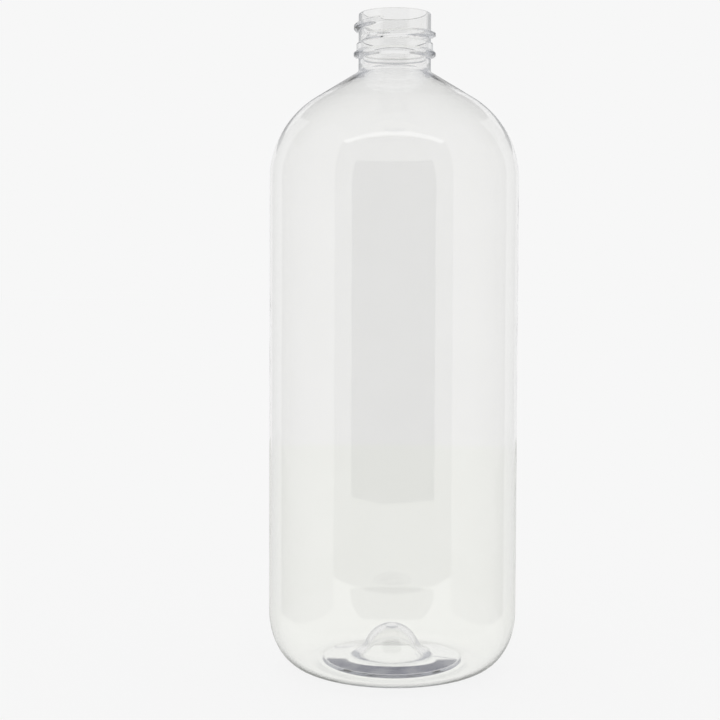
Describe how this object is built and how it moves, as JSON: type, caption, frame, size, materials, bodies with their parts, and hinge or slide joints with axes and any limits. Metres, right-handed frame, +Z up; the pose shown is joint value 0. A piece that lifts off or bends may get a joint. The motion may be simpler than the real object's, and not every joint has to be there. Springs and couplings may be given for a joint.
{
  "type": "round plastic bottle",
  "caption": "Clear blown round bottle with a rounded shoulder, a short threaded neck with a bead ring, an open mouth and a pushed-up base.",
  "frame": {"origin": "centre of the standing ring, on the surface the bottle stands on", "axes": "+Z up the bottle's axis to the mouth; -Y is the side that faced the camera, where the thread begins"},
  "size_m": [0.084, 0.084, 0.2205],
  "materials": {
    "clear_plastic": "clear, smooth and glossy, with a faint cool tint where it is thick"
  },
  "bodies": {
    "root": {"bottle": "clear_plastic"}
  },
  "joints": []
}
